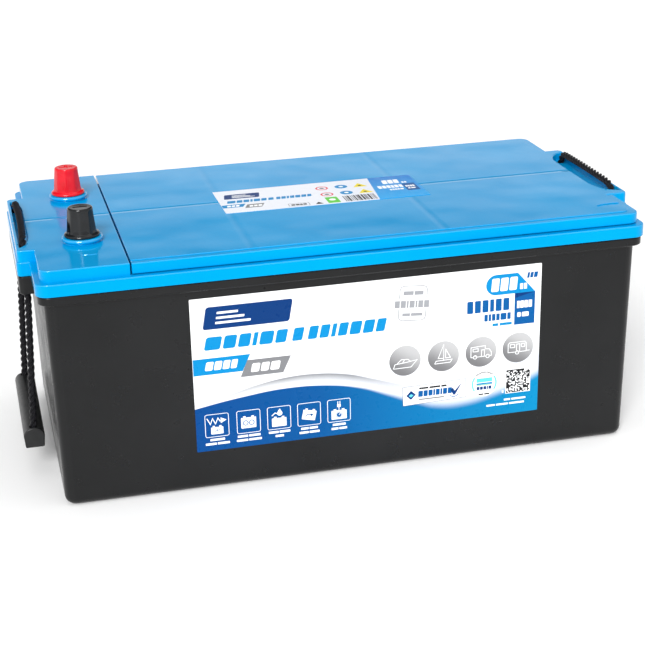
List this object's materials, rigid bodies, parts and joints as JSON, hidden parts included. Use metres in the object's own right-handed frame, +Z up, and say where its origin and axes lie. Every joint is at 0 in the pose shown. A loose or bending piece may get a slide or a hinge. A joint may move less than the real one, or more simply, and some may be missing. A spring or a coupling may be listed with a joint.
{
  "type": "deep cycle battery",
  "caption": "Sealed deep cycle battery: long black case with blue welded lid and cover, two capped terminal posts at one end and a rope handle with a moulded grip at each end.",
  "frame": {"origin": "on the floor under the middle of the case", "axes": "+X along the long side away from the terminals, +Y from the labelled side to the rear, +Z up"},
  "size_m": [0.5334, 0.278, 0.2305],
  "materials": {
    "container_plastic": "fine moulded polypropylene, satin",
    "lid_plastic": "smooth glossy moulded polypropylene",
    "red_plastic": "soft satin moulded cap",
    "black_plastic": "satin moulded polymer",
    "rope_fibre": "three-strand laid polypropylene rope",
    "label_film": "printed coated film",
    "lead": "dull cast lead alloy",
    "positive_plate": "pasted lead dioxide grid",
    "negative_plate": "pasted spongy lead grid",
    "glass_mat": "absorbent glass fibre mat",
    "valve_rubber": "moulded elastomer",
    "porous_disc": "sintered porous disc"
  },
  "bodies": {
    "root": {"container": "container_plastic", "lid": "lid_plastic", "top_cover": "lid_plastic", "positive_post": "lead", "positive_bushing": "lead", "negative_post": "lead", "negative_bushing": "lead", "front_label": "label_film", "top_label": "label_film", "left_rope_bridge": "rope_fibre", "right_rope_bridge": "rope_fibre", "cell_1_positive_plates": "positive_plate", "cell_1_negative_plates": "negative_plate", "cell_1_separator": "glass_mat", "cell_2_positive_plates": "positive_plate", "cell_2_negative_plates": "negative_plate", "cell_2_separator": "glass_mat", "cell_3_positive_plates": "positive_plate", "cell_3_negative_plates": "negative_plate", "cell_3_separator": "glass_mat", "cell_4_positive_plates": "positive_plate", "cell_4_negative_plates": "negative_plate", "cell_4_separator": "glass_mat", "cell_5_positive_plates": "positive_plate", "cell_5_negative_plates": "negative_plate", "cell_5_separator": "glass_mat", "cell_6_positive_plates": "positive_plate", "cell_6_negative_plates": "negative_plate", "cell_6_separator": "glass_mat", "intercell_weld_1": "lead", "intercell_weld_2": "lead", "intercell_weld_3": "lead", "intercell_weld_4": "lead", "intercell_weld_5": "lead", "vent_valve_1": "valve_rubber", "vent_valve_2": "valve_rubber", "vent_valve_3": "valve_rubber", "vent_valve_4": "valve_rubber", "vent_valve_5": "valve_rubber", "vent_valve_6": "valve_rubber", "left_flame_arrestor": "porous_disc", "right_flame_arrestor": "porous_disc"},
    "left_handle": {"left_grip": "black_plastic", "left_front_strand": "rope_fibre", "left_rear_strand": "rope_fibre"},
    "right_handle": {"right_grip": "black_plastic", "right_front_strand": "rope_fibre", "right_rear_strand": "rope_fibre"},
    "positive_cap": {"positive_cap": "red_plastic"},
    "negative_cap": {"negative_cap": "black_plastic"}
  },
  "joints": [
    {"name": "left_handle_swing", "type": "hinge", "parent": "root", "child": "left_handle", "pos_m": [-0.252, 0, 0.158], "axis": [0, 1, 0], "range_deg": [0, 90]},
    {"name": "right_handle_swing", "type": "hinge", "parent": "root", "child": "right_handle", "pos_m": [0.252, 0, 0.158], "axis": [0, -1, 0], "range_deg": [0, 90]},
    {"name": "positive_cap_pull", "type": "slide", "parent": "root", "child": "positive_cap", "axis": [0, 0, 1], "range_m": [0, 0.04]},
    {"name": "negative_cap_pull", "type": "slide", "parent": "root", "child": "negative_cap", "axis": [0, 0, 1], "range_m": [0, 0.04]}
  ]
}
